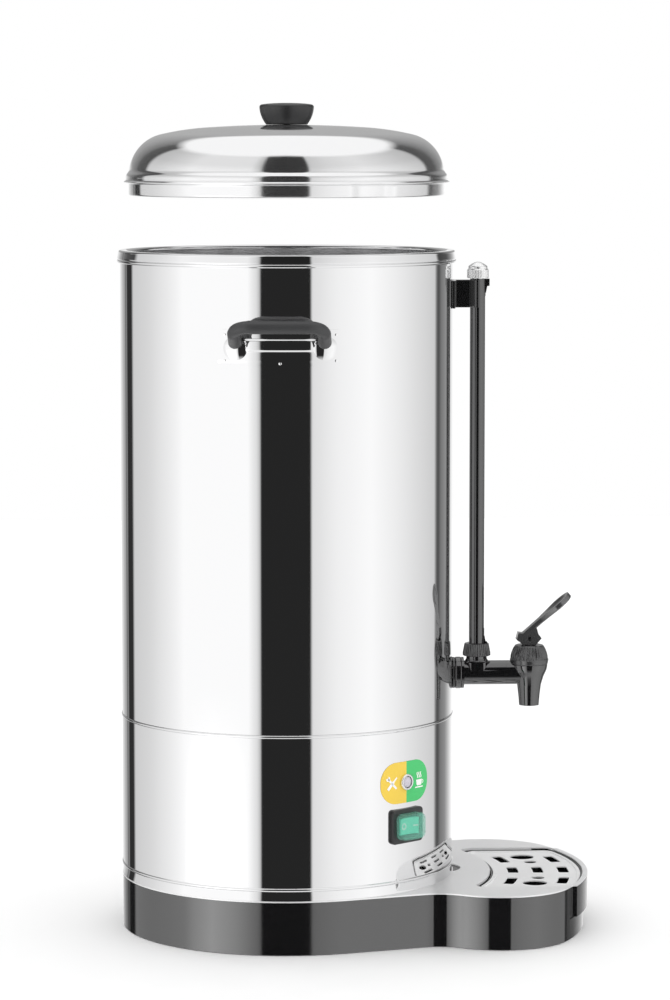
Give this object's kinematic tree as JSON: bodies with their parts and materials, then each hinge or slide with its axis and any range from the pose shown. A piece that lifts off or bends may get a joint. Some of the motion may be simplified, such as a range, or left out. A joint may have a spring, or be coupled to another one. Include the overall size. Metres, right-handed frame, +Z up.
{
  "type": "hot water urn",
  "caption": "Tall round double-wall water boiler with lift-off lid, level gauge, lever tap, rocker switch and a drip tray that draws out of its base.",
  "frame": {"origin": "on the tank's axis, at the floor", "axes": "+Z up along the tank's axis, +X towards the tap and the drip tray"},
  "size_m": [0.3557, 0.3222, 0.6205],
  "materials": {
    "polished_steel": "mirror polished stainless steel",
    "satin_steel": "bright stainless sheet",
    "chrome": "chrome plated",
    "plated_steel": "zinc plated steel",
    "black_plastic": "glossy moulded",
    "brown_moulding": "moulded phenolic",
    "seal_rubber": "matt moulded rubber",
    "seat_silicone": "pale silicone",
    "gauge_glass": "clear tube",
    "lamp_glass": "clear lens",
    "label_film": "printed film, half yellow and half green",
    "green_boot": "translucent silicone",
    "green_rocker": "moulded, lit from inside"
  },
  "bodies": {
    "urn": {"tank_jacket": "polished_steel", "skirt_shell": "polished_steel", "foot_ring": "polished_steel", "rim_ring": "polished_steel", "handle_plate_front": "polished_steel", "handle_plate_rear": "polished_steel", "handle_wire_front": "polished_steel", "handle_wire_rear": "polished_steel", "base_deck": "satin_steel", "inner_vessel": "satin_steel", "base_plate": "satin_steel", "heater_plate": "satin_steel", "gauge_cap": "chrome", "lamp_bezel": "chrome", "base_screws": "plated_steel", "heating_element": "plated_steel", "base_housing": "black_plastic", "gauge_bracket": "black_plastic", "handle_grip_front": "black_plastic", "handle_grip_rear": "black_plastic", "gauge_guard": "black_plastic", "gauge_nut": "black_plastic", "tap_ring_nut": "black_plastic", "tap_tee": "black_plastic", "tap_spout": "black_plastic", "tap_bonnet": "black_plastic", "switch_frame": "black_plastic", "switch_body": "black_plastic", "terminal_block": "black_plastic", "tap_lock_nut": "black_plastic", "cord_gland": "black_plastic", "gland_nut": "black_plastic", "thermostat": "brown_moulding", "thermal_cutout": "brown_moulding", "rubber_pads": "seal_rubber", "gauge_seal": "seal_rubber", "tap_seal": "seal_rubber", "tap_inner_seal": "seal_rubber", "seat_cup": "seat_silicone", "gauge_glass": "gauge_glass", "lamp_lens": "lamp_glass", "status_label": "label_film", "switch_boot": "green_boot"},
    "lid": {"lid_shell": "polished_steel", "lid_knob": "black_plastic", "lid_screw": "plated_steel", "lid_washer": "plated_steel"},
    "tray": {"drip_tray": "black_plastic"},
    "grille": {"drip_grille": "satin_steel"},
    "valve": {"valve_stem": "black_plastic"},
    "lever": {"tap_lever": "black_plastic", "lever_pin": "plated_steel"},
    "rocker": {"switch_rocker": "green_rocker"}
  },
  "joints": [
    {"name": "lid_lift", "type": "slide", "parent": "urn", "child": "lid", "axis": [0, 0, 1], "range_m": [-0.0494, 0.12]},
    {"name": "tray_draw", "type": "slide", "parent": "urn", "child": "tray", "axis": [1, 0, 0], "range_m": [0, 0.075]},
    {"name": "grille_lift", "type": "slide", "parent": "tray", "child": "grille", "axis": [0, 0, 1], "range_m": [0, 0.06]},
    {"name": "valve_lift", "type": "slide", "parent": "urn", "child": "valve", "axis": [0, 0, 1], "range_m": [0, 0.0021], "deforming": ["seat_cup"]},
    {"name": "tap_lever_hinge", "type": "hinge", "parent": "valve", "child": "lever", "pos_m": [0.1839, 0, 0.2163], "axis": [0, 1, 0], "range_deg": [0, 30], "stiffness_Nm_per_rad": 0.3, "springref_deg": -5.73},
    {"name": "rocker_hinge", "type": "hinge", "parent": "urn", "child": "rocker", "pos_m": [0.08146, -0.08921, 0.0898], "axis": [0, 0, 1], "range_deg": [0, 12]}
  ],
  "couplings": [
    {"joint": "valve_lift", "follows": "tap_lever_hinge", "m_per_rad": 0.00382}
  ]
}
